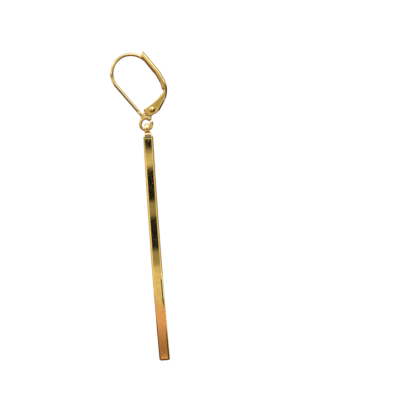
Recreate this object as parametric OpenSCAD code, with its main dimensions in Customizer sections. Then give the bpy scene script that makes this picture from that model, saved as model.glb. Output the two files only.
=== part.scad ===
// Bar earring on a lever-back hook, in millimetres, +Z up.
// The origin is the inner top of the ear wire's hoop, where the earring hangs in the ear lobe.
// The hook lies in the X-Z plane. The ear wire is on the left and the lever is on the right.
// A lean is an angle from straight down, positive towards +X.

/* [Ear wire] */
// Diameter of the round ear wire
wire_d = 0.7; // [0.65:0.05:0.75]
// Radius of the hoop over the lobe, to the middle of the wire
hoop_r = 4; // [3.95:0.05:4.1]
// Wider radius of the stretch that runs down into the lever
front_r = 4.35; // [4.3:0.05:4.4]
// Lean of the straight back leg
leg_lean = 37; // [36:0.5:38]
// Length of the straight back leg, down to the hinge plate
leg_l = 7.1; // [7:0.05:7.2]
// Length of the straight tip that lies in the lever
tip_l = 2.85; // [2.5:0.05:3]

/* [Lever] */
// Width of the folded channel, over both cheeks
lever_w = 1.7; // [1.65:0.05:1.8]
// Thickness of the folded sheet
sheet = 0.3; // [0.25:0.05:0.3]
// Outside radius of the two folds along the back
fold_r = 0.35; // [0.33:0.01:0.4]
// Depth of the narrow channel
cheek_d = 1.02; // [0.95:0.01:1.05]
// Lean of the upper straight of the lever, which the tip of the wire follows
lever_lean = 36; // [35.5:0.5:36.5]
// From the back of the lever to the middle of the wire in it
wire_in = 0.82; // [0.8:0.01:0.9]
// How far the lever reaches past the end of the hoop's bend
overreach = 2.4; // [2.2:0.1:2.6]
// Slant of the cut across the lever's upper end
end_slant = 40; // [30:1:45]
// Length of the upper straight
upper_l = 5; // [4.9:0.05:5.1]
// Radius of the slight knee below it
knee_r = 6; // [5:0.5:7]
// Lean of the short straight below the knee
mid_lean = 26; // [25:0.5:27]
// Length of the short straight
mid_l = 1.25; // [1.2:0.05:1.3]
// Radius of the lever's main bow
bow_r = 4.8; // [4.75:0.05:4.85]
// Lean of the lower straight
foot_lean = -32; // [-33:0.5:-31]
// Length of the lower straight
foot_l = 2.17; // [2.1:0.01:2.25]
// Slant of the cut across the lever's lower end
foot_slant = 60; // [40:1:62]
// Radius of the notch on the inner edge
notch_r = 0.5; // [0.45:0.01:0.52]
// Hollow of the wide cheek's inner edge, as a radius
cheek_hollow_r = 13.5; // [11:0.5:16]

/* [Hinge] */
// Rivet's place, sideways
rivet_x = 3.74; // [3.72:0.01:3.77]
// Rivet's place, up and down
rivet_z = -11.39; // [-11.42:0.01:-11.36]
// Diameter of the rivet's pin
pin_d = 0.66; // [0.6:0.02:0.7]
// Running gap round the pin, on the radius
pin_gap = 0.03; // [0.02:0.01:0.04]
// Diameter of the rivet's domed heads
head_d = 1.28; // [1.2:0.02:1.36]
// Height of the rivet's domed heads
head_h = 0.36; // [0.3:0.02:0.4]
// Gap between the rivet's heads and the lever's cheeks
head_gap = 0.03; // [0.02:0.01:0.05]
// Thickness of the hinge plate
plate_t = 1.2; // [1.1:0.05:1.3]
// Thickness of the tang between the cheeks
tang_t = 0.94; // [0.85:0.01:0.95]
// Radius of the tang's round end
tang_r = 0.9; // [0.8:0.02:0.92]
// Radius of the hinge plate's round shoulder, about the rivet
shoulder_r = 1.56; // [1.55:0.01:1.6]

/* [Ring] */
// Ring's middle, sideways
ring_x = 2.44; // [2.42:0.01:2.47]
// Ring's middle, up and down
ring_z = -14.29; // [-14.32:0.01:-14.26]
// Radius of the ring, to the middle of its wire
ring_r = 1.15; // [1.13:0.01:1.17]
// Diameter of the ring's wire
ring_wire_d = 0.6; // [0.56:0.02:0.62]
// Angle of the ring's free end
ring_end = 22; // [18:1:23]
// Angle where the lug beyond the ring's opening starts
lug_start = 40; // [38:1:42]

/* [Drop] */
// Width of the bar at its top
bar_top_w = 2.02; // [1.96:0.02:2.08]
// Width of the bar at its foot
bar_foot_w = 2.26; // [2.2:0.02:2.3]
// Radius of the bar's edges
edge_r = 0.4; // [0.35:0.01:0.45]
// Length of the drop, from the middle of the eye's hole to the foot
drop_l = 47.95; // [40:0.05:52]
// Radius of the turned top's curve
ogive_r = 6.2; // [6:0.1:6.4]
// Largest radius of the turned top
ogive_max = 1.28; // [1.28:0.01:1.32]
// From the middle of the eye's hole down to the widest place of the turned top
ogive_drop = 3.3; // [3.2:0.05:3.4]
// Diameter of the eye
eye_d = 2.32; // [2.26:0.02:2.36]
// Width of the eye
eye_w = 1; // [0.95:0.01:1.05]
// How far the eye's middle is above the middle of its hole
eye_up = 0.22; // [0.16:0.01:0.26]
// Radius on the eye's rim
eye_round = 0.32; // [0.25:0.01:0.35]
// Diameter of the eye's hole
hole_d = 0.95; // [0.92:0.01:1]
// How far the eye's hole widens towards its mouths, on the radius
eye_flare = 0.24; // [0.22:0.01:0.28]
// Gap over the ring's wire, where the eye hangs on it
hang_gap = 0.08; // [0.07:0.01:0.1]
// How far the drop hangs to the right of the ring's middle
drop_aside = 0.09; // [0:0.01:0.1]
// Turn of the drop about the vertical in its loose ring
drop_turn = -8; // [-10:1:10]

/* [Hidden] */
$fn = 64;
gold = [0.83, 0.66, 0.33];
wire_r = wire_d / 2;
pin_r = pin_d / 2;
hole_r = hole_d / 2;

// A point on a circle, one reached along a lean, and the direction and side of that lean.
function on(c, r, a) = c + r * [cos(a), sin(a)];
function along(lean) = [sin(lean), -cos(lean)];
function side(lean) = [cos(lean), sin(lean)];
function after(p, lean, l) = p + l * along(lean);

// Middle line of the ear wire.
hoop_c = [0, wire_r - hoop_r];
front_c = [0, wire_r - front_r];
leg_top = on(hoop_c, hoop_r, 180 + leg_lean);
leg_foot = after(leg_top, leg_lean, leg_l);
// How far the leg runs on inside the hinge plate.
leg_root = 0.3;
tip_top = on(front_c, front_r, lever_lean);
tip_end = after(tip_top, lever_lean, tip_l);

// Back line of the lever, from its upper end to the hinge.
lever_top = after(tip_top + wire_in * side(lever_lean), lever_lean, -overreach);
knee_top = after(lever_top, lever_lean, upper_l);
knee_c = knee_top - knee_r * side(lever_lean);
mid_top = on(knee_c, knee_r, mid_lean);
bow_top = after(mid_top, mid_lean, mid_l);
bow_c = bow_top - bow_r * side(mid_lean);
foot_top = on(bow_c, bow_r, foot_lean);
foot_end = after(foot_top, foot_lean, foot_l);
inside_w = lever_w - 2 * sheet;
fold_steps = 5;
bow_steps = 12;
knee_steps = 3;
hollow_steps = 8;
notch_a = -5.5;
// The notch's middle lies this far outside the channel's inner edge.
notch_out = 0.19;
notch_c = on(bow_c, bow_r - cheek_d - notch_out, notch_a);

// Corners of the wide cheek, from the rivet.
rivet_c = [rivet_x, rivet_z];
cheek_in = rivet_c + [-1.6, 0.22];
cheek_end = rivet_c + [-1.3, -0.64];
cheek_low = rivet_c + [-0.92, -1.08];
cheek_bottom = rivet_c + [0.1, -1.14];
cheek_heel = rivet_c + [0.72, -0.83];

// The hollow inner edge of the wide cheek is part of a circle, from a point in the notch to the
// inner corner.
hollow_depth = 0.86;
hollow_top = on(bow_c, bow_r - hollow_depth, notch_a - 5.5);
hollow_chord = cheek_in - hollow_top;
hollow_half = norm(hollow_chord) / 2;
hollow_lift = sqrt(pow(cheek_hollow_r, 2) - pow(hollow_half, 2));
hollow_square = [hollow_chord[1], -hollow_chord[0]] / norm(hollow_chord);
hollow_c = (hollow_top + cheek_in) / 2 + hollow_lift * hollow_square;
hollow_half_a = asin(hollow_half / cheek_hollow_r);
hollow_mid_a = atan2(hollow_chord[1], hollow_chord[0]) + 90;
function hollow(t) = on(hollow_c, cheek_hollow_r, hollow_mid_a + hollow_half_a * (1 - 2 * t));

// How far down the wide part of the back each of its sections starts, and where it ends.
wide_arc_l = bow_r * (notch_a - foot_lean) * PI / 180;
wide_l = wide_arc_l + foot_l;
function wide_back(t) =
    let (l = t * wide_l)
    l < wide_arc_l
        ? on(bow_c, bow_r, notch_a - l / bow_r * 180 / PI)
        : after(foot_top, foot_lean, l - wide_arc_l);
function wide_lean(t) = max(foot_lean, notch_a - t * wide_l / bow_r * 180 / PI);

// Shares of that length at which the sections of the hollow start and end, and those of the corners.
hollow_from = 0.06;
hollow_to = 0.6;
end_at = 0.74;
low_at = 0.84;
bottom_at = 0.93;

// Points of the hinge plate.
ring_c = [ring_x, ring_z];
arm_half = wire_r + 0.02;
plate_top_r = 0.62;
plate_top_c = [1.83, -11.36];
waist_r = 0.96;
waist_c = [0.41, -12.9];
lug_top = rivet_c + [-0.12, -1.5];
lug_side = [3.59, -13.2];
eye_opening_r = 0.91;

// Heights of the drop.
hole_z = ring_z - ring_r - (hole_r - ring_wire_d / 2 - hang_gap);

// Stands a flat outline up in the X-Z plane, as a plate of thickness t.
module plate(t) {
    rotate([90, 0, 0])
        linear_extrude(t, center = true)
            children();
}

// A plain bore or pin across the hook.
module across(c, r, l) {
    translate([c[0], 0, c[1]])
        rotate([90, 0, 0])
            cylinder(r = r, h = l, center = true);
}

// Round wire: a bent stretch and a straight one.
module wire_bend(c, r, d, from, to) {
    translate([c[0], 0, c[1]])
        rotate([90, 0, 0])
            rotate([0, 0, from])
                rotate_extrude(angle = to - from)
                    translate([r, 0])
                        circle(d = d);
}

module wire_run(p, lean, l) {
    translate([p[0], 0, p[1]])
        rotate([0, 180 - lean, 0])
            cylinder(d = wire_d, h = l);
}

module ear_wire() {
    wire_bend(hoop_c, hoop_r, wire_d, 90, 180 + leg_lean);
    wire_bend(front_c, front_r, wire_d, lever_lean, 90);
    wire_run(leg_top, leg_lean, leg_l + leg_root);
    wire_run(tip_top, lever_lean, tip_l);
    translate([tip_end[0], 0, tip_end[1]])
        sphere(d = wire_d);
}

// Flat plate with an arm to the wire, one to each side of the ring and a round shoulder.
module hinge_plate() {
    plate(plate_t)
        difference() {
            polygon([
                leg_foot - arm_half * side(leg_lean),
                leg_foot + arm_half * side(leg_lean),
                [2.6, -11.6],
                [3.2, -12.4],
                lug_top,
                lug_side,
                on(ring_c, ring_r + 0.15, lug_start + 3),
                on(ring_c, ring_r - 0.12, lug_start + 3),
                ring_c,
                on(ring_c, ring_r - 0.2, 168),
                on(ring_c, ring_r + 0.08, 160)
            ]);
            translate(plate_top_c)
                circle(r = plate_top_r);
            translate(waist_c)
                circle(r = waist_r);
            translate(rivet_c)
                circle(r = shoulder_r);
            translate(ring_c + [0, 0.04])
                circle(r = eye_opening_r);
        }
}

// Thin tang that reaches between the cheeks, with a round end about the rivet.
module tang() {
    plate(tang_t) {
        translate(rivet_c)
            circle(r = tang_r);
        polygon([
            on(rivet_c, tang_r - 0.03, 130),
            [2.35, -12.35],
            [2.9, -12.95],
            rivet_c + [-0.12, -1.56],
            on(rivet_c, tang_r - 0.03, -75)
        ]);
    }
}

module open_ring() {
    wire_bend(ring_c, ring_r, ring_wire_d, 152 - 360, ring_end);
    wire_bend(ring_c, ring_r, ring_wire_d, lug_start, 62);
}

module ear_hook() {
    color(gold)
        difference() {
            union() {
                ear_wire();
                hinge_plate();
                tang();
                open_ring();
            }
            across(rivet_c, pin_r + pin_gap, 3);
        }
}

// One of the channel's two folds, as [depth, across] points from the back to the flat cheek.
fold = [
    for (i = [0:fold_steps])
        let (a = 90 * i / fold_steps)
        [fold_r - fold_r * cos(a), lever_w / 2 - fold_r + fold_r * sin(a)]
];

// Sections of the lever: a point of its back, the lean there, the end of its cheeks and its slant.
function narrow(p, lean, slant) = [
    p,
    lean,
    p - cheek_d * side(lean) + cheek_d * tan(slant) * along(lean),
    slant
];
function narrow_bend(c, r, from, to, steps) = [
    for (i = [0:steps])
        let (a = from + (to - from) * i / steps)
        narrow(on(c, r, a), a, 0)
];
function wide(t, cheek_point) = [wide_back(t), wide_lean(t), cheek_point, 0];
lever_sections = concat(
    [narrow(lever_top, lever_lean, end_slant)],
    narrow_bend(knee_c, knee_r, lever_lean, mid_lean, knee_steps),
    narrow_bend(bow_c, bow_r, mid_lean, notch_a, bow_steps),
    [for (t = [0:1 / hollow_steps:1]) wide(hollow_from + (hollow_to - hollow_from) * t, hollow(t))],
    [
        wide(end_at, cheek_end),
        wide(low_at, cheek_low),
        wide(bottom_at, cheek_bottom),
        [foot_end, foot_lean, cheek_heel, foot_slant]
    ]
);

// The points of one section, round the channel from one fold to the other.
function back_point(section, depth, across) =
    let (p = section[0] - depth * side(section[1]) + depth * tan(section[3]) * along(section[1]))
    [p[0], across, p[1]];
function cheek_point(section, across) = [section[2][0], across, section[2][1]];
function section_points(section) = concat(
    [for (q = fold) back_point(section, q[0], q[1])],
    [
        cheek_point(section, lever_w / 2),
        cheek_point(section, inside_w / 2),
        back_point(section, sheet, inside_w / 2),
        back_point(section, sheet, -inside_w / 2),
        cheek_point(section, -inside_w / 2),
        cheek_point(section, -lever_w / 2)
    ],
    [for (i = [fold_steps:-1:0]) back_point(section, fold[i][0], -fold[i][1])]
);

// The folded sheet with its two cheeks, whole.
module folded_sheet() {
    n = 2 * fold_steps + 8;
    f = fold_steps;
    last = (len(lever_sections) - 1) * n;
    end_back = concat([for (i = [n - 1:-1:f + 7]) i], [f + 4, f + 3], [for (i = [f:-1:0]) i]);
    end_cheeks = [[f, f + 3, f + 2], [f, f + 2, f + 1], [f + 7, f + 6, f + 5], [f + 7, f + 5, f + 4]];
    polyhedron(
        points = [for (section = lever_sections, p = section_points(section)) p],
        faces = concat(
            [[for (i = [0:n - 1]) i]],
            [
                for (j = [0:len(lever_sections) - 2], i = [0:n - 1])
                    let (k = (i + 1) % n)
                    [j * n + i, (j + 1) * n + i, (j + 1) * n + k, j * n + k]
            ],
            [for (face = concat([end_back], end_cheeks)) [for (i = face) last + i]]
        )
    );
}

module lever() {
    color(gold)
        difference() {
            folded_sheet();
            across(rivet_c, pin_r + pin_gap, 3);
            across(notch_c, notch_r, 3);
        }
}

// Half outline of the rivet, turned about its pin.
module rivet_outline() {
    face = lever_w / 2 + head_gap;
    head_r = head_d / 2;
    dome_r = (head_r * head_r + head_h * head_h) / (2 * head_h);
    translate([0, -face - 0.05])
        square([pin_r, 2 * face + 0.1]);
    for (s = [0, 1])
        mirror([0, s])
            intersection() {
                translate([0, face + head_h - dome_r])
                    circle(r = dome_r);
                translate([0, face])
                    square([head_r, head_h]);
            }
}

module rivet() {
    color(gold)
        translate([rivet_x, 0, rivet_z])
            rotate([90, 0, 0])
                rotate_extrude()
                    rivet_outline();
}

// Long bar with rounded edges, a little wider at its foot.
module long_bar() {
    hull()
        for (sx = [-1, 1], sy = [-1, 1]) {
            translate([sx * (bar_top_w / 2 - edge_r), sy * (bar_top_w / 2 - edge_r), 0])
                sphere(r = edge_r, $fn = 32);
            translate([sx * (bar_foot_w / 2 - edge_r), sy * (bar_foot_w / 2 - edge_r), edge_r - drop_l])
                sphere(r = edge_r, $fn = 32);
        }
}

// Turned form that cuts the top of the bar to a rounded point.
module turned_top() {
    rotate_extrude() {
        intersection() {
            translate([ogive_max - ogive_r, -ogive_drop])
                circle(r = ogive_r);
            translate([0, -ogive_drop])
                square([ogive_max, ogive_drop - hole_r - eye_flare]);
        }
        translate([0, -drop_l - 1])
            square([ogive_max + 0.6, drop_l + 1 - ogive_drop]);
    }
}

// Round eye across the bar, with rounded rims.
module eye() {
    half = eye_w / 2;
    translate([0, 0, eye_up])
        rotate([0, 90, 0])
            rotate_extrude() {
                translate([0, -half])
                    square([eye_d / 2 - eye_round, eye_w]);
                translate([0, eye_round - half])
                    square([eye_d / 2, eye_w - 2 * eye_round]);
                for (s = [-1, 1])
                    translate([eye_d / 2 - eye_round, s * (half - eye_round)])
                        circle(r = eye_round);
            }
}

// The eye's hole, opened out towards both sides for the curve of the ring.
module eye_hole() {
    throat = 0.15;
    rotate([0, 90, 0]) {
        cylinder(r = hole_r, h = eye_w + 0.1, center = true);
        for (s = [0, 1])
            mirror([0, 0, s])
                translate([0, 0, throat])
                    cylinder(r1 = hole_r, r2 = hole_r + eye_flare, h = eye_w / 2 - throat + 0.02);
    }
}

module bar() {
    color(gold)
        translate([ring_x + drop_aside, 0, hole_z])
            rotate([0, 0, drop_turn])
                difference() {
                    union() {
                        intersection() {
                            long_bar();
                            turned_top();
                        }
                        eye();
                    }
                    eye_hole();
                }
}

ear_hook();
lever();
rivet();
bar();
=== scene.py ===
"""Looks of the bar earring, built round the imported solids.

The metal pieces are modelled as smooth fields: each one is a function that is negative inside the
metal, and a surface net lays an even mesh on the place where it is zero. Lengths in the fields are
millimetres, in the row frame. A lean is an angle from straight down, positive towards +X.
"""

import math

import bpy
import numpy as np
from mathutils import Matrix, Vector


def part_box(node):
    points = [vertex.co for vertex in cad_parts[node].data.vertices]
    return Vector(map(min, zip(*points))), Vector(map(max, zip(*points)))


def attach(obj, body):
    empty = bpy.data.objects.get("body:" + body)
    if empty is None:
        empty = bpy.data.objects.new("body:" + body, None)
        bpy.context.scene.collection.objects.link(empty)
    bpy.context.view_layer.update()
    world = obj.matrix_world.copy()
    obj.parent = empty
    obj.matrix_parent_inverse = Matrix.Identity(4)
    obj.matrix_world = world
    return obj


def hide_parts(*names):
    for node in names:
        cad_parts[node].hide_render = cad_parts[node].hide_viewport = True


MM = 0.001

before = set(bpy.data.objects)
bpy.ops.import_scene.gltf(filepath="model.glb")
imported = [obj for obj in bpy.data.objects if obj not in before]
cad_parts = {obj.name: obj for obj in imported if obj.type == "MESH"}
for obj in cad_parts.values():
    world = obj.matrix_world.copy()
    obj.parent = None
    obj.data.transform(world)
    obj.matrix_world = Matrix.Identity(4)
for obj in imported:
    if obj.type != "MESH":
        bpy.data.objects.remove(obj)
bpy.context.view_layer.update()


# Points and angles in the hook's plane.


def on(centre, radius, angle):
    """The point of a circle at an angle in degrees."""
    a = math.radians(angle)
    return (centre[0] + radius * math.cos(a), centre[1] + radius * math.sin(a))


def side(lean):
    """The direction square to a lean, towards +X."""
    return (math.cos(math.radians(lean)), math.sin(math.radians(lean)))


def after(point, lean, length):
    """The point that lies a length down a lean."""
    a = math.radians(lean)
    return (point[0] + length * math.sin(a), point[1] - length * math.cos(a))


def plus(point, dx, dz):
    return (point[0] + dx, point[1] + dz)


# Ear wire. Its front end lies in the lever, at the lever's lean.
WIRE_R = 0.35
HOOP_R, FRONT_R = 4.0, 4.35
LEG_LEAN, LEG_L, LEG_ROOT = 37, 7.1, 0.3
TIP_L = 2.85
hoop_c = (0, WIRE_R - HOOP_R)
front_c = (0, WIRE_R - FRONT_R)
LEVER_LEAN = 36
leg_top = on(hoop_c, HOOP_R, 180 + LEG_LEAN)
leg_foot = after(leg_top, LEG_LEAN, LEG_L)
tip_top = on(front_c, FRONT_R, LEVER_LEAN)
tip_end = after(tip_top, LEVER_LEAN, TIP_L)

# Lever.
LEVER_W, SHEET, SHEET_BLEND, FOLD_R, INNER_FOLD_R = 1.7, 0.3, 0.1, 0.5, 0.2
BEVEL_W, BEVEL_A, EDGE_ROUND = 0.13, 35, 0.06
CHEEK_D, WIRE_IN = 1.02, 0.82
OVERREACH, UPPER_L, END_SLANT = 2.4, 5.0, 40
KNEE_R, MID_LEAN, MID_L = 6.0, 26, 1.25
BOW_R, FOOT_LEAN, FOOT_L = 4.8, -32, 2.17
KNEE_STEPS, BOW_STEPS, HOLLOW_STEPS, BACK_STEPS = 5, 17, 16, 9
NOTCH_A, NOTCH_R, NOTCH_OUT, NOTCH_ROUND = -5.5, 0.5, 0.19, 0.08
HOLLOW_R, HOLLOW_DEPTH, HOLLOW_UNDER_NOTCH = 13.5, 0.86, 5.5
OUTLINE_SPARE, FOOT_RISE = 0.5, 0.6
wire_side = side(LEVER_LEAN)
lever_top = after(plus(tip_top, WIRE_IN * wire_side[0], WIRE_IN * wire_side[1]), LEVER_LEAN, -OVERREACH)
knee_top = after(lever_top, LEVER_LEAN, UPPER_L)
knee_c = plus(knee_top, -KNEE_R * wire_side[0], -KNEE_R * wire_side[1])
mid_top = on(knee_c, KNEE_R, MID_LEAN)
bow_top = after(mid_top, MID_LEAN, MID_L)
bow_c = plus(bow_top, -BOW_R * side(MID_LEAN)[0], -BOW_R * side(MID_LEAN)[1])
foot_top = on(bow_c, BOW_R, FOOT_LEAN)
foot_end = after(foot_top, FOOT_LEAN, FOOT_L)
notch_c = on(bow_c, BOW_R - CHEEK_D - NOTCH_OUT, NOTCH_A)

# Hinge.
PIN_R, PIN_GAP, PIN_IN_HEAD = 0.33, 0.03, 0.05
HEAD_R, HEAD_H, HEAD_GAP, HEAD_ROUND = 0.68, 0.36, 0.03, 0.08
PLATE_T, PLATE_EDGE_R, ARM_WIDER, HOLLOW_BLEND, SHOULDER_R = 1.2, 0.24, 0.02, 0.12, 1.58
TANG_T, TANG_EDGE_R, TANG_R, ROOT_IN = 0.94, 0.05, 0.9, 0.03
SOLDER = 0.16
rivet_c = (3.74, -11.39)
cheek_in = plus(rivet_c, -1.6, 0.22)
cheek_end = plus(rivet_c, -1.38, -0.68)
cheek_low = plus(rivet_c, -0.88, -1.28)
cheek_bottom = plus(rivet_c, -0.3, -1.27)
cheek_heel = plus(rivet_c, 0.72, -0.83)

# Ring.
RING_R, RING_WIRE_R = 1.15, 0.3
RING_END, LUG_START, RING_END_ROUND = 24, 38, 0.12
RING_ASIDE, RING_BROADER, RING_SQUARE = 0.06, 0.2, 2.4
ring_c = (2.44, -14.29)

# Outline of the plate, clockwise from the leg by the lever and the ring, the circles that hollow it,
# and the outline of the tang's root.
arm = WIRE_R + ARM_WIDER
leg_side = side(LEG_LEAN)
plate_outline = [
    plus(leg_foot, -arm * leg_side[0], -arm * leg_side[1]),
    plus(leg_foot, arm * leg_side[0], arm * leg_side[1]),
    (2.6, -11.6),
    (3.2, -12.4),
    plus(rivet_c, -0.12, -1.5),
    (3.59, -13.2),
    on(ring_c, RING_R + 0.15, LUG_START + 3),
    on(ring_c, RING_R - 0.12, LUG_START + 3),
    ring_c,
    on(ring_c, RING_R - 0.2, 168),
    on(ring_c, RING_R + 0.08, 160),
]
plate_hollows = [
    ((1.83, -11.36), 0.62),
    ((0.41, -12.9), 0.96),
    (rivet_c, SHOULDER_R),
    (plus(rivet_c, -0.12, -0.02), SHOULDER_R + 0.02),
    (plus(ring_c, 0, 0.04), 0.91),
]
tang_root = [
    on(rivet_c, TANG_R - ROOT_IN, 130),
    (2.35, -12.35),
    (2.9, -12.95),
    plus(rivet_c, -0.18, -1.6),
    on(rivet_c, TANG_R - ROOT_IN, -87),
]

# Drop.
BAR_TOP_W, BAR_FOOT_W, BAR_EDGE_R, DROP_L = 2.07, 2.26, 0.48, 47.94
FACE_TILT = (BAR_FOOT_W - BAR_TOP_W) / 2 / DROP_L
BOW, BOW_MIDDLE, BOW_HALF, BOW_FROM = 0.1, -23.5, 23.0, 0.4
OGIVE_R, OGIVE_MAX, OGIVE_DROP = 6.2, 1.28, 3.3
TOP_EDGE_R, TOP_FLATTER, TOP_BLEND = 0.25, 0.05, 0.02
NECK_TOP, NECK_BLEND = 0.36, 0.1
EYE_R, EYE_DEPTH, EYE_W, EYE_UP, EYE_ROUND, EYE_BLEND = 1.16, 0.82, 1.04, 0.22, 0.26, 0.12
EYE_SPREAD, SPREAD_FROM = 0.4, 0.2
BROW_AT, BROW_SLANT, BROW_BLEND = (0.8, 0.42), 25, 0.06
HOLE_R, HOLE_FLARE, HOLE_THROAT, HOLE_ROUND = 0.475, 0.12, 0.15, 0.08
HANG_GAP, DROP_ASIDE, DROP_TURN = 0.08, 0.09, -8
drop_x = ring_c[0] + DROP_ASIDE
hole_z = ring_c[1] - RING_R - (HOLE_R - RING_WIRE_R - HANG_GAP)


# Distances. They take arrays, and are negative inside.


def smooth_max(a, b, k):
    """The larger of two, with a round of about k where they meet."""
    h = np.maximum(k - np.abs(a - b), 0) / k
    return np.maximum(a, b) + h * h * k / 4


def smooth_min(a, b, k):
    return -smooth_max(-a, -b, k)


def rounded_box(qx, qy, radius):
    """Distance to a corner of this radius, from the distances past the corner's own centre."""
    outside = np.hypot(np.maximum(qx, 0), np.maximum(qy, 0))
    return outside + np.minimum(np.maximum(qx, qy), 0) - radius


def line_distance(x, z, a, b):
    dx, dz = b[0] - a[0], b[1] - a[1]
    t = np.clip(((x - a[0]) * dx + (z - a[1]) * dz) / (dx * dx + dz * dz), 0, 1)
    return np.hypot(x - a[0] - t * dx, z - a[1] - t * dz)


def arc_distance(x, z, centre, radius, start, end):
    """Distance to the arc that runs from start to end, in degrees anticlockwise."""
    middle, half = math.radians((start + end) / 2), math.radians((end - start) / 2)
    angle = np.arctan2(z - centre[1], x - centre[0]) - middle
    angle = np.abs((angle + math.pi) % (2 * math.pi) - math.pi)
    beside = np.abs(np.hypot(x - centre[0], z - centre[1]) - radius)
    ends = [on(centre, radius, start), on(centre, radius, end)]
    past = np.minimum(*[np.hypot(x - p[0], z - p[1]) for p in ends])
    return np.where(angle <= half, beside, past)


def circle_distance(x, z, centre, radius):
    return np.hypot(x - centre[0], z - centre[1]) - radius


def polygon_distance(x, z, points):
    """Signed distance to a closed outline."""
    nearest = np.full(np.broadcast(x, z).shape, np.inf)
    inside = np.zeros(nearest.shape, bool)
    for a, b in zip(points, points[1:] + points[:1]):
        nearest = np.minimum(nearest, line_distance(x, z, a, b))
        if a[1] != b[1]:
            crosses = (a[1] > z) != (b[1] > z)
            inside ^= crosses & (x < a[0] + (z - a[1]) * (b[0] - a[0]) / (b[1] - a[1]))
    return np.where(inside, -nearest, nearest)


def slab(outline, y, thickness, edge_r):
    """A flat outline given a thickness across the hook, with rounded edges."""
    return rounded_box(outline + edge_r, np.abs(y) - thickness / 2 + edge_r, edge_r)


# The metal pieces.


def hinge_plate(x, z):
    """Side outline of the plate between the leg, the lever and the ring."""
    outline = polygon_distance(x, z, plate_outline)
    for centre, radius in plate_hollows:
        outline = smooth_max(outline, -circle_distance(x, z, centre, radius), HOLLOW_BLEND)
    return outline


def tang(x, z):
    """Side outline of the thinner plate that the lever turns on."""
    return np.minimum(circle_distance(x, z, rivet_c, TANG_R), polygon_distance(x, z, tang_root))


def open_ring(x, y, z):
    """The ring under the plate, open at its upper right, with squarish wire that broadens there."""

    def past(angle):
        """How far a point lies anticlockwise of the ring's radius at an angle."""
        a = math.radians(angle)
        return (z - ring_c[1]) * math.cos(a) - (x - ring_c[0]) * math.sin(a)

    inward = circle_distance(x, z, plus(ring_c, -RING_ASIDE, 0), RING_R + RING_ASIDE)
    swell = RING_BROADER / 2 * np.clip((x - ring_c[0]) / RING_R, 0, 1)
    inward = np.abs(inward + swell) * RING_WIRE_R / (RING_WIRE_R + swell)
    around = (inward**RING_SQUARE + np.abs(y) ** RING_SQUARE) ** (1 / RING_SQUARE) - RING_WIRE_R
    gap = np.maximum(-past(RING_END), past(LUG_START))
    behind = ring_c[0] - x
    return smooth_max(around, -np.maximum(gap, behind), RING_END_ROUND)


def ear_hook(x, y, z):
    """Ear wire, plate, tang and ring in one, with the rivet's hole."""
    wire = np.minimum.reduce([
        arc_distance(x, z, hoop_c, HOOP_R, 90, 180 + LEG_LEAN),
        arc_distance(x, z, front_c, FRONT_R, LEVER_LEAN, 90),
        line_distance(x, z, leg_top, after(leg_foot, LEG_LEAN, LEG_ROOT)),
        line_distance(x, z, tip_top, tip_end),
    ])
    metal = np.hypot(wire, y) - WIRE_R
    metal = smooth_min(metal, slab(hinge_plate(x, z), y, PLATE_T, PLATE_EDGE_R), SOLDER)
    metal = smooth_min(metal, open_ring(x, y, z), SOLDER)
    metal = np.minimum(metal, slab(tang(x, z), y, TANG_T, TANG_EDGE_R))
    return np.maximum(metal, -circle_distance(x, z, rivet_c, PIN_R + PIN_GAP))


def depth_from_back(x, z):
    """How far a point lies inside the lever's back line."""

    def off_line(point, lean):
        s = side(lean)
        return (point[0] - x) * s[0] + (point[1] - z) * s[1]

    def off_arc(centre, radius):
        return -circle_distance(x, z, centre, radius)

    knee_a = np.degrees(np.arctan2(z - knee_c[1], x - knee_c[0]))
    bow_a = np.degrees(np.arctan2(z - bow_c[1], x - bow_c[0]))
    depth = np.where(knee_a < LEVER_LEAN, off_arc(knee_c, KNEE_R), off_line(lever_top, LEVER_LEAN))
    depth = np.where(knee_a < MID_LEAN, off_line(mid_top, MID_LEAN), depth)
    depth = np.where(bow_a < MID_LEAN, off_arc(bow_c, BOW_R), depth)
    return np.where(bow_a < FOOT_LEAN, off_line(foot_top, FOOT_LEAN), depth)


def hollow_edge():
    """Points along the hollow inner edge of the wide cheek, from the notch to the inner corner."""
    start = on(bow_c, BOW_R - HOLLOW_DEPTH, NOTCH_A - HOLLOW_UNDER_NOTCH)
    dx, dz = cheek_in[0] - start[0], cheek_in[1] - start[1]
    length = math.hypot(dx, dz)
    lift = math.sqrt(HOLLOW_R**2 - length**2 / 4) / length
    centre = ((start[0] + cheek_in[0]) / 2 + dz * lift, (start[1] + cheek_in[1]) / 2 - dx * lift)
    first = math.degrees(math.atan2(start[1] - centre[1], start[0] - centre[0]))
    turn = 2 * math.degrees(math.asin(length / 2 / HOLLOW_R))
    return [on(centre, HOLLOW_R, first - turn * i / HOLLOW_STEPS) for i in range(HOLLOW_STEPS + 1)]


def lever_points():
    """Points of the lever's side outline. The fold gives the back, so here the back lies outside it."""
    spare, inner = OUTLINE_SPARE, -CHEEK_D
    upper = side(LEVER_LEAN)
    slant = math.tan(math.radians(END_SLANT))
    return [
        after(plus(lever_top, spare * upper[0], spare * upper[1]), LEVER_LEAN, -spare * slant),
        after(plus(lever_top, inner * upper[0], inner * upper[1]), LEVER_LEAN, CHEEK_D * slant),
        *[on(knee_c, KNEE_R - CHEEK_D, a) for a in np.linspace(LEVER_LEAN, MID_LEAN, KNEE_STEPS)],
        *[on(bow_c, BOW_R - CHEEK_D, a) for a in np.linspace(MID_LEAN, NOTCH_A, BOW_STEPS)],
        *hollow_edge(),
        cheek_end, cheek_low, cheek_bottom, cheek_heel, foot_end,
        plus(foot_end, spare, spare * FOOT_RISE),
        *[on(bow_c, BOW_R + spare, a) for a in np.linspace(FOOT_LEAN, MID_LEAN, BACK_STEPS)],
        on(knee_c, KNEE_R + spare, LEVER_LEAN),
    ]


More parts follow.
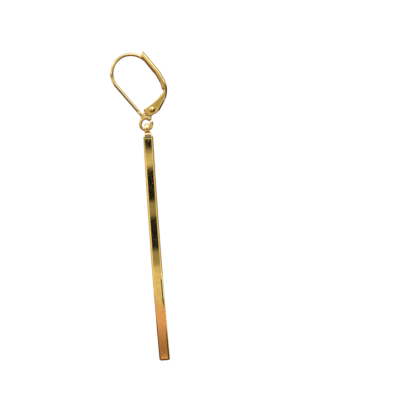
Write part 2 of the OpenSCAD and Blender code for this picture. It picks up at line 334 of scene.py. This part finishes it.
lever_outline = lever_points()


def lever_side(x, z):
    """Distance to the lever's side outline, with its notch."""
    outline = polygon_distance(x, z, lever_outline)
    return smooth_max(outline, -circle_distance(x, z, notch_c, NOTCH_R), NOTCH_ROUND)


def lever(x, y, z):
    """The folded sheet channel, with a bevel along the cheeks' edges."""
    depth = depth_from_back(x, z)
    outline = lever_side(x, z)
    aside = np.abs(y) - LEVER_W / 2
    outer = rounded_box(FOLD_R - depth, aside + FOLD_R, FOLD_R)
    inner = rounded_box(INNER_FOLD_R + SHEET - depth, aside + SHEET + INNER_FOLD_R, INNER_FOLD_R)
    sheet = smooth_max(outer, -inner, SHEET_BLEND)
    slant = math.radians(BEVEL_A)
    bevel = aside * math.cos(slant) + (outline + BEVEL_W) * math.sin(slant)
    sheet = smooth_max(np.maximum(sheet, bevel), outline, EDGE_ROUND)
    return np.maximum(sheet, -circle_distance(x, z, rivet_c, PIN_R + PIN_GAP))


def rivet(x, y, z):
    """The hinge pin, with a domed head on each side."""
    face = LEVER_W / 2 + HEAD_GAP
    dome_r = (HEAD_R**2 + HEAD_H**2) / (2 * HEAD_H)
    across = np.hypot(x - rivet_c[0], z - rivet_c[1])
    dome = np.hypot(across, np.abs(y) - face - HEAD_H + dome_r) - dome_r
    head = smooth_max(dome, face - np.abs(y), HEAD_ROUND)
    pin = np.maximum(across - PIN_R, np.abs(y) - face - PIN_IN_HEAD)
    return np.minimum(head, pin)


def bar_block(u, v, w):
    """The long square bar, a little wider at the foot, with rounded edges."""
    core = BAR_TOP_W / 2 - BAR_EDGE_R - FACE_TILT * w
    qu, qv, qw = np.abs(u) - core, np.abs(v) - core, BAR_EDGE_R - DROP_L - w
    outside = np.sqrt(np.maximum(qu, 0) ** 2 + np.maximum(qv, 0) ** 2 + np.maximum(qw, 0) ** 2)
    return outside + np.minimum(np.maximum(np.maximum(qu, qv), qw), 0) - BAR_EDGE_R


def bar_top(u, v, w):
    """The bar's top, drawn in along an arc on all four sides."""
    half = OGIVE_MAX - OGIVE_R + np.sqrt(OGIVE_R**2 - np.clip(w + OGIVE_DROP, 0, OGIVE_DROP) ** 2)
    deep = half - TOP_FLATTER
    return rounded_box(np.abs(u) - half + TOP_EDGE_R, np.abs(v) - deep + TOP_EDGE_R, TOP_EDGE_R)


def eye(u, v, w):
    """The eye above the bar, without its hole, with a slanted upper front and back."""
    half = EYE_W / 2 + EYE_SPREAD * np.clip(-w - SPREAD_FROM, 0, 1)
    outline = np.hypot(v * EYE_R / EYE_DEPTH, w - EYE_UP) - EYE_R
    brow = math.radians(BROW_SLANT)
    slant = (np.abs(v) - BROW_AT[0]) * math.cos(brow) + (w - BROW_AT[1]) * math.sin(brow)
    outline = smooth_max(outline, slant, BROW_BLEND)
    return rounded_box(outline + EYE_ROUND, np.abs(u) - half + EYE_ROUND, EYE_ROUND)


def bar(x, y, z):
    """The drop, in its own turned axes: u across its face, v through it, w up from the hole."""
    turn = math.radians(DROP_TURN)
    u = (x - drop_x) * math.cos(turn) + y * math.sin(turn)
    v = y * math.cos(turn) - (x - drop_x) * math.sin(turn)
    w = z - hole_z
    bow = BOW * (2 * ((w - BOW_MIDDLE) / BOW_HALF) ** 2 - 1)
    u = u - bow * np.clip(-w - BOW_FROM, 0, 1)
    metal = smooth_max(bar_block(u, v, w), bar_top(u, v, w), TOP_BLEND)
    metal = smooth_max(metal, w + NECK_TOP, NECK_BLEND)
    metal = smooth_min(metal, eye(u, v, w), EYE_BLEND)
    mouth = np.clip((np.abs(u) - HOLE_THROAT) / (EYE_W / 2 - HOLE_THROAT), 0, 1)
    return smooth_max(metal, HOLE_R + HOLE_FLARE * mouth - np.hypot(v, w), HOLE_ROUND)


# Surface nets.

CORNERS = [(i, j, k) for i in (0, 1) for j in (0, 1) for k in (0, 1)]
CELL_EDGES = [
    (a, b) for a in CORNERS for b in CORNERS if a < b and sum(np.abs(np.subtract(a, b))) == 1
]
SLOPE_STEP, FLATTEST = 0.004, 0.2
SETTLE_STEPS, LONGEST_MOVE = 3, 0.03


def slope(field, p):
    """The field's value and gradient at points."""
    value = field(*p.T)
    steps = np.eye(3) * SLOPE_STEP
    rises = [field(*(p + s).T) - field(*(p - s).T) for s in steps]
    return value, np.stack([rise / (2 * SLOPE_STEP) for rise in rises], 1)


def net_faces(inside, number):
    """One quad for each grid edge that passes through the surface, wound to face outwards."""
    faces = []
    for axis in range(3):
        b, c = (axis + 1) % 3, (axis + 2) % 3
        low, high = np.moveaxis(inside, axis, 0)[:-1], np.moveaxis(inside, axis, 0)[1:]
        edges = np.argwhere(low != high)
        edges = np.insert(edges[:, 1:], axis, edges[:, 0], axis=1)
        room = (edges[:, b] > 0) & (edges[:, c] > 0)
        edges = edges[room & (edges[:, b] < number.shape[b]) & (edges[:, c] < number.shape[c])]
        quad = []
        for db, dc in ((1, 1), (0, 1), (0, 0), (1, 0)):
            cell = edges.copy()
            cell[:, b] -= db
            cell[:, c] -= dc
            quad.append(number[tuple(cell.T)])
        quad = np.stack(quad, 1)
        leaving = inside[tuple(edges.T)]
        faces.append(np.where(leaving[:, None], quad, quad[:, ::-1]))
    return np.concatenate(faces)


def crossed_cells(inside):
    """The grid cells that the surface passes through."""
    count = sum(
        inside[tuple(slice(d, n - 1 + d) for d, n in zip(corner, inside.shape))].astype(int)
        for corner in CORNERS
    )
    return (count > 0) & (count < len(CORNERS))


def crossing_middles(values, cells, axes):
    """For each cell, the mean of the points where its edges pass through the surface."""

    def place(corner):
        at = cells + np.array(corner)
        return np.stack([axis[i] for axis, i in zip(axes, at.T)], 1), values[tuple(at.T)][:, None]

    total, hits = np.zeros((len(cells), 3)), np.zeros((len(cells), 1))
    for first, second in CELL_EDGES:
        (pa, va), (pb, vb) = place(first), place(second)
        crosses = (va < 0) != (vb < 0)
        share = np.where(crosses, va / np.where(crosses, va - vb, 1), 0)
        total += np.where(crosses, pa + share * (pb - pa), 0)
        hits += crosses
    return total / hits


def settled(field, points):
    """Points brought onto the surface along the field's gradient."""
    for _ in range(SETTLE_STEPS):
        value, gradient = slope(field, points)
        move = (value / np.maximum((gradient**2).sum(1), FLATTEST))[:, None] * gradient
        points = points - np.clip(move, -LONGEST_MOVE, LONGEST_MOVE)
    return points


def new_mesh(name, verts, faces):
    mesh = bpy.data.meshes.new(name)
    mesh.from_pydata(verts, [], faces)
    mesh.update()
    return mesh


def new_object(name, data):
    piece = bpy.data.objects.new(name, data)
    bpy.context.scene.collection.objects.link(piece)
    return piece


def net(name, field, axes):
    """The object whose surface is where the field is zero, on a grid of these three axes."""
    values = field(axes[0][:, None, None], axes[1][None, :, None], axes[2][None, None, :])
    inside = values < 0
    active = crossed_cells(inside)
    cells = np.argwhere(active)
    number = np.full(active.shape, -1)
    number[active] = np.arange(len(cells))
    points = settled(field, crossing_middles(values, cells, axes))
    mesh = new_mesh(name, (points * MM).tolist(), net_faces(inside, number).tolist())
    mesh.shade_smooth()
    return new_object(name, mesh)


# Grids.

HOOK_GRID, LEVER_GRID, RIVET_GRID, BAR_GRID = 0.06, 0.05, 0.04, 0.06
BAR_LONG_STEP, FINE_FOOT, FINE_TOP = 0.6, 0.8, 5.4


def span(node, axis, step):
    """Grid places across a CAD node's box, with a margin of two steps."""
    low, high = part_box(node)
    low, high = low[axis] / MM - 2 * step, high[axis] / MM + 2 * step
    return np.linspace(low, high, int(math.ceil((high - low) / step)) + 1)


def even_grid(node, step):
    return [span(node, axis, step) for axis in range(3)]


def bar_heights():
    """Grid heights of the bar: close at the turned top and at the foot, long on the plain stretch."""
    low, high = (corner[2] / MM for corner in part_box("bar"))
    plain_low, plain_high = low + FINE_FOOT, high - FINE_TOP
    foot = np.arange(low - 2 * BAR_GRID, plain_low, BAR_GRID)
    middle = np.linspace(plain_low, plain_high, int((plain_high - plain_low) / BAR_LONG_STEP))
    top = np.arange(plain_high + BAR_GRID, high + 2 * BAR_GRID, BAR_GRID)
    return np.concatenate([foot, middle, top])


def bar_grid():
    return [span("bar", 0, BAR_GRID), span("bar", 1, BAR_GRID), bar_heights()]


# Finishes.

PALE_GOLD, DEEP_GOLD = (0.90, 0.62, 0.17), (0.80, 0.52, 0.12)
TONE_SCALE, HAZE_SCALE, FLECK_SCALE, WAVE_SCALE = 1600, 1500, 6000, 900
NOISE_LOW, NOISE_HIGH = 0.3, 0.7
FLECK_START, FLECK_FULL = 0.58, 0.72
WAVE_HEIGHT = 0.01


def new_material(name):
    material = bpy.data.materials.new(name)
    material.use_nodes = True
    return material, material.node_tree.nodes, material.node_tree.links


def noise(nodes, links, place, scale, detail):
    node = nodes.new("ShaderNodeTexNoise")
    node.inputs["Scale"].default_value = scale
    node.inputs["Detail"].default_value = detail
    links.new(place, node.inputs["Vector"])
    return node.outputs["Fac"]


def ranged(nodes, links, value, start, end, low=0, high=1):
    """A value brought from the range start to end into the range low to high, and held there."""
    node = nodes.new("ShaderNodeMapRange")
    for socket, limit in (("From Min", start), ("From Max", end), ("To Min", low), ("To Max", high)):
        node.inputs[socket].default_value = limit
    links.new(value, node.inputs["Value"])
    return node.outputs["Result"]


def ramp(nodes, links, value, stops):
    node = nodes.new("ShaderNodeValToRGB")
    while len(node.color_ramp.elements) < len(stops):
        node.color_ramp.elements.new(1)
    for element, (place, colour) in zip(node.color_ramp.elements, stops):
        element.position = place
        element.color = (*colour, 1)
    links.new(value, node.inputs["Fac"])
    return node.outputs["Color"]


def polished_gold(name, roughness, fleck_roughness, wave):
    """Polished gold plating: tone and gloss drift a little, with fine flecks and a faint waviness."""
    material, nodes, links = new_material(name)
    shader = nodes["Principled BSDF"]
    shader.inputs["Metallic"].default_value = 1
    place = nodes.new("ShaderNodeTexCoord").outputs["Object"]
    tone = noise(nodes, links, place, TONE_SCALE, 3)
    colour = ramp(nodes, links, tone, [(NOISE_LOW, DEEP_GOLD), (NOISE_HIGH, PALE_GOLD)])
    links.new(colour, shader.inputs["Base Color"])
    haze = noise(nodes, links, place, HAZE_SCALE, 3)
    grain = noise(nodes, links, place, FLECK_SCALE, 2)
    flecked = nodes.new("ShaderNodeMix")
    flecked.inputs["B"].default_value = fleck_roughness
    links.new(ranged(nodes, links, grain, FLECK_START, FLECK_FULL), flecked.inputs["Factor"])
    links.new(ranged(nodes, links, haze, NOISE_LOW, NOISE_HIGH, *roughness), flecked.inputs["A"])
    links.new(flecked.outputs["Result"], shader.inputs["Roughness"])
    bump = nodes.new("ShaderNodeBump")
    bump.inputs["Strength"].default_value = wave
    bump.inputs["Distance"].default_value = WAVE_HEIGHT * MM
    links.new(noise(nodes, links, place, WAVE_SCALE, 2), bump.inputs["Height"])
    links.new(bump.outputs["Normal"], shader.inputs["Normal"])
    return material


def wear(piece, body, node, material):
    """Gives a piece its metal, and puts it on its body in place of the CAD node."""
    piece.data.materials.append(material)
    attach(piece, body)
    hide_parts(node)


hook_gold = polished_gold("hook_gold", roughness=(0.07, 0.13), fleck_roughness=0.22, wave=0.25)
drop_gold = polished_gold("drop_gold", roughness=(0.02, 0.05), fleck_roughness=0.24, wave=0.05)

pieces = [
    ("ear_wire_and_ring", ear_hook, "hook", "ear_hook", even_grid("ear_hook", HOOK_GRID), hook_gold),
    ("folded_lever", lever, "lever", "lever", even_grid("lever", LEVER_GRID), hook_gold),
    ("domed_rivet", rivet, "hook", "rivet", even_grid("rivet", RIVET_GRID), hook_gold),
    ("square_bar", bar, "drop", "bar", bar_grid(), drop_gold),
]
for name, field, body, node, grid, material in pieces:
    wear(net(name, field, grid), body, node, material)


# Studio. Bearings are in degrees, from the camera's line towards its right.

CAM_AZIMUTH, CAM_ROLL = math.radians(-8), math.radians(4.23)
CAM_DISTANCE = 300
CLIP_NEAR, CLIP_FAR = 0.01, 10
MM_PER_PIXEL = 0.208
IMAGE_W = 416
SENSOR_W = 36
SIGHT_Z = -32.6
AIM_RIGHT, AIM_UP = 11.37, 0.84
FLOOR_Z = -190

cam_back = Vector((math.sin(CAM_AZIMUTH), -math.cos(CAM_AZIMUTH), 0))
cam_right = Vector((math.cos(CAM_AZIMUTH), math.sin(CAM_AZIMUTH), 0))
cam_up = Vector((0, 0, 1))


def hung_camera():
    """Camera level with the bar's middle and square to its face, with the earring left of the centre."""
    sight = Vector((drop_x, 0, SIGHT_Z))
    rolled_right = cam_right * math.cos(CAM_ROLL) - cam_up * math.sin(CAM_ROLL)
    rolled_up = cam_up * math.cos(CAM_ROLL) + cam_right * math.sin(CAM_ROLL)
    place = sight + cam_back * CAM_DISTANCE
    out = (place - sight - rolled_right * AIM_RIGHT - rolled_up * AIM_UP).normalized()
    across = rolled_up.cross(out).normalized()
    data = bpy.data.cameras.new("camera")
    data.sensor_width = SENSOR_W
    data.lens = SENSOR_W * CAM_DISTANCE / (IMAGE_W * MM_PER_PIXEL)
    data.clip_start, data.clip_end = CLIP_NEAR, CLIP_FAR
    camera = new_object("camera", data)
    turn = Matrix((across, out.cross(across), out)).transposed().to_4x4()
    camera.matrix_world = Matrix.Translation(place * MM) @ turn
    bpy.context.scene.camera = camera


# Light tent: cards round the earring that only its metal mirrors, with two small dark ones beside the
# lever for the dark edge of its bend. Heights and radii are millimetres, bearings and steps degrees.
TENT_R = 150
TENT_TOP, TENT_FOOT = 150, -150
KEY_FOOT, LEFT_KEY_FOOT = 24, 80
FLICK_R, FLAG_R, HEEL_FLAG_R = 148, 24, 9
CARD_STEP, END_STEP = 3, 10


def mirrored(z):
    """Height on the tent's wall that the bar's face shows the camera at its height z."""
    return z + (z - SIGHT_Z) * TENT_R / CAM_DISTANCE + 2 * FACE_TILT * TENT_R


def shade(value):
    return (value, value, value)


DARK = (0.010, 0.014, 0.035)
UMBER, DIM_GOLD, OCHRE, GOLD, CREAM = shade(0.07), shade(0.2), shade(0.36), shade(0.86), shade(1.0)
ORANGE, COPPER, RUST, PEACH = (0.87, 0.54, 0.58), (0.47, 0.29, 0.27), (0.42, 0.17, 0.13), (0.95, 0.62, 0.60)
SUNK_GOLD, DIM_COPPER, DIM_RUST = (0.76, 0.73, 0.68), (0.35, 0.21, 0.19), (0.16, 0.055, 0.04)
BROWN, EARTH, FLOOR_BROWN = (0.2, 0.16, 0.12), (0.06, 0.03, 0.022), (0.18, 0.11, 0.085)
TAN, SAND, DUN, DIM_BLUE = (0.58, 0.52, 0.46), (0.58, 0.53, 0.46), (0.4, 0.35, 0.3), (0.12, 0.15, 0.35)

# The key light is bluish, so that gold mirrors it as white.
KEY = (0.34, 0.46, 1.0)
KEY_STRENGTH, TOP_STRENGTH, OVER_STRENGTH, LEFT_FRONT_STRENGTH = 4.2, 3.8, 3.4, 1.05

# What the bar's face mirrors: heights on the bar, from the top down, with the light's colour there.
BAR_BANDS = [
    (-16.3, GOLD), (-16.8, DARK), (-19.35, DARK), (-20.2, shade(0.56)), (-21.6, shade(0.8)),
    (-22.9, shade(0.82)), (-23.3, DARK), (-30.4, DARK), (-30.6, OCHRE), (-33.3, OCHRE),
    (-33.6, DARK), (-40.5, DARK), (-40.7, OCHRE), (-43.4, OCHRE), (-44.4, GOLD), (-49.5, GOLD),
    (-51.6, SUNK_GOLD), (-53.6, ORANGE), (-55.4, ORANGE), (-59.3, COPPER), (-62.2, DIM_COPPER),
]
BAR_MIRRORED = [(mirrored(z), colour) for z, colour in BAR_BANDS]

# Light on the walls: heights from the top down, with the colour there.
BELOW_BAR = [(mirrored(-63.2), PEACH), (-100, PEACH), (-108, RUST)]
FRONT_WALL = [(12, CREAM), (9, DUN), (2, DUN), (-0.8, SAND), (-2.1, CREAM)] + BAR_MIRRORED + BELOW_BAR
OVER_CAMERA = [
    (150, KEY), (148.5, KEY), (144, DARK), (136, DARK), (129, DIM_RUST), (122, DIM_RUST),
    (114, DIM_BLUE), (104, DIM_BLUE), (96, DARK), (84, DARK), (76, DIM_GOLD), (KEY_FOOT, DIM_GOLD),
]
FOOT_SIDES = [(mirrored(-49.3), GOLD), (mirrored(-51.0), ORANGE), (mirrored(-55.2), ORANGE)]
DARK_FOOT = FOOT_SIDES + [(mirrored(-57.0), EARTH)]
RIGHT_FRONT_WALL = [(24, TAN), (20, BROWN), (0, BROWN), (-7, CREAM)] + DARK_FOOT
LEFT_FRONT_WALL = [
    (13, CREAM), (9, BROWN), (-8.5, BROWN), (-11, TAN), (-14, CREAM), *FOOT_SIDES,
    (-74, COPPER), (-84, EARTH),
]
LEFT_WALL = [(20, OCHRE), (9, BROWN), (-2, BROWN), (-7, GOLD), *DARK_FOOT, (-123, EARTH), (-127, GOLD)]
RIGHT_WALL = [(20, BROWN), (-5, BROWN), (-12, OCHRE), (mirrored(-45), GOLD)] + DARK_FOOT
BACK_WALL = [(40, CREAM), (10, GOLD), (-40, OCHRE), (-80, GOLD), (-140, COPPER)]
GLEAM_WALL = [(-50, UMBER), (mirrored(-50), GOLD), (mirrored(-63.5), GOLD), (-83, UMBER)]


def plain(colour):
    return [(TENT_FOOT, colour), (TENT_FOOT, colour)]


def banded_glow(name, bands, strength):
    """Light that changes with height, from (height, colour) pairs."""
    material, nodes, links = new_material(name)
    nodes.remove(nodes["Principled BSDF"])
    place = nodes.new("ShaderNodeNewGeometry").outputs["Position"]
    height = nodes.new("ShaderNodeSeparateXYZ")
    links.new(place, height.inputs["Vector"])
    share = ranged(nodes, links, height.outputs["Z"], TENT_FOOT * MM, TENT_TOP * MM)
    tall = TENT_TOP - TENT_FOOT
    stops = [((z - TENT_FOOT) / tall, colour) for z, colour in reversed(bands)]
    emission = nodes.new("ShaderNodeEmission")
    emission.inputs["Strength"].default_value = strength
    links.new(ramp(nodes, links, share, stops), emission.inputs["Color"])
    links.new(emission.outputs["Emission"], nodes["Material Output"].inputs["Surface"])
    return material


def on_tent(bearing, z, radius=TENT_R):
    """The point at a bearing, height and radius from the bar's line."""
    b = math.radians(bearing)
    flat = cam_back * math.cos(b) + cam_right * math.sin(b)
    return ((drop_x + flat.x * radius) * MM, flat.y * radius * MM, z * MM)


def card(name, verts, faces, bands, strength):
    """A glowing card that the camera, the floor and shadows pass by."""
    mesh = new_mesh(name, verts, faces)
    mesh.materials.append(banded_glow(name, bands, strength))
    piece = new_object(name, mesh)
    piece.visible_camera = False
    piece.visible_diffuse = False
    piece.visible_shadow = False


def tent_wall(name, start, end, low, high, bands, strength=1.0, radius=TENT_R):
    bearings = np.linspace(start, end, max(2, int((end - start) / CARD_STEP) + 1))
    verts = [on_tent(b, z, radius) for b in bearings for z in (low, high)]
    faces = [(2 * i, 2 * i + 2, 2 * i + 3, 2 * i + 1) for i in range(len(bearings) - 1)]
    card(name, verts, faces, bands, strength)


def tent_end(name, z, start, end, colour, strength=1.0):
    rim = [on_tent(b, z) for b in range(start, end + 1, END_STEP)]
    card(name, rim, [tuple(range(len(rim)))], plain(colour), strength)


def key_wall(name, start, end, low=KEY_FOOT, high=TENT_TOP, radius=TENT_R):
    tent_wall(name, start, end, low, high, plain(KEY), KEY_STRENGTH, radius)


def light_tent():
    tent_wall("front_card", -20, 22, TENT_FOOT, KEY_FOOT, FRONT_WALL)
    tent_wall("over_camera_card", -20, 10, KEY_FOOT, TENT_TOP, OVER_CAMERA, OVER_STRENGTH)
    tent_wall("right_front_card", 22, 60, TENT_FOOT, KEY_FOOT, RIGHT_FRONT_WALL)
    tent_wall("right_upper_card", 60, 105, KEY_FOOT, TENT_TOP, plain(TAN))
    key_wall("right_key_card", 10, 60)
    tent_wall("right_card", 60, 98, TENT_FOOT, KEY_FOOT, RIGHT_WALL)
    tent_wall("right_back_card", 98, 135, TENT_FOOT, KEY_FOOT, GLEAM_WALL)
    tent_wall("right_back_upper_card", 105, 135, KEY_FOOT, TENT_TOP, plain(UMBER))
    tent_wall("back_card", 135, 225, TENT_FOOT, TENT_TOP, BACK_WALL)
    tent_wall("left_back_card", 225, 240, TENT_FOOT, TENT_TOP, plain(UMBER))
    tent_wall("left_card", 240, 292, TENT_FOOT, KEY_FOOT, LEFT_WALL)
    tent_wall("left_front_card", 292, 340, TENT_FOOT, KEY_FOOT, LEFT_FRONT_WALL, LEFT_FRONT_STRENGTH)
    key_wall("left_key_card", 240, 292)
    tent_wall("left_front_middle_card", 292, 340, KEY_FOOT, LEFT_KEY_FOOT, plain(GOLD))
    key_wall("left_front_key_card", 292, 340, LEFT_KEY_FOOT)
    tent_end("top_front_card", TENT_TOP, -90, 90, KEY, TOP_STRENGTH)
    tent_end("top_back_card", TENT_TOP, 90, 270, TAN)
    tent_end("foot_card", TENT_FOOT, 0, 350, FLOOR_BROWN)
    tent_wall("dark_flick_card", 1, 58, mirrored(-51.4), mirrored(-46.3), plain(DARK), radius=FLICK_R)
    tent_wall("knee_flag_card", 50, 125, -15, -3, plain(EARTH), radius=FLAG_R)
    tent_wall("heel_flag_card", 50, 125, -15.4, -11.5, plain(EARTH), radius=HEEL_FLAG_R)
    key_wall("light_flick_card", 58, 95, mirrored(-49.7), mirrored(-44.8), FLICK_R)


FLOOR_COLOUR, FLOOR_ROUGHNESS = shade(0.92), 0.9
SKY_STRENGTH = 1.15


def pale_sweep():
    """Pale floor that curves up into a backdrop behind the earring. Lengths are metres."""
    depth, width, rise, bend, steps = 1.6, 3.6, 2.0, 0.3, 12
    floor = FLOOR_Z * MM
    profile = [(-depth, floor), (depth - bend, floor)]
    for i in range(1, steps + 1):
        a = math.pi / 2 * i / steps
        profile.append((depth - bend + bend * math.sin(a), floor + bend * (1 - math.cos(a))))
    profile.append((depth, floor + rise))
    verts = [(x, y, z) for y, z in profile for x in (-width / 2, width / 2)]
    faces = [(2 * i, 2 * i + 1, 2 * i + 3, 2 * i + 2) for i in range(len(profile) - 1)]
    mesh = new_mesh("pale_floor", verts, faces)
    mesh.shade_smooth()
    material, nodes, links = new_material("pale_floor")
    shader = nodes["Principled BSDF"]
    shader.inputs["Base Color"].default_value = (*FLOOR_COLOUR, 1)
    shader.inputs["Roughness"].default_value = FLOOR_ROUGHNESS
    mesh.materials.append(material)
    new_object("pale_floor", mesh)


def studio_world():
    world = bpy.data.worlds.new("studio")
    world.use_nodes = True
    background = world.node_tree.nodes["Background"]
    background.inputs["Color"].default_value = (1, 1, 1, 1)
    background.inputs["Strength"].default_value = SKY_STRENGTH
    bpy.context.scene.world = world


hung_camera()
light_tent()
pale_sweep()
studio_world()
bpy.context.scene.view_settings.view_transform = "Standard"
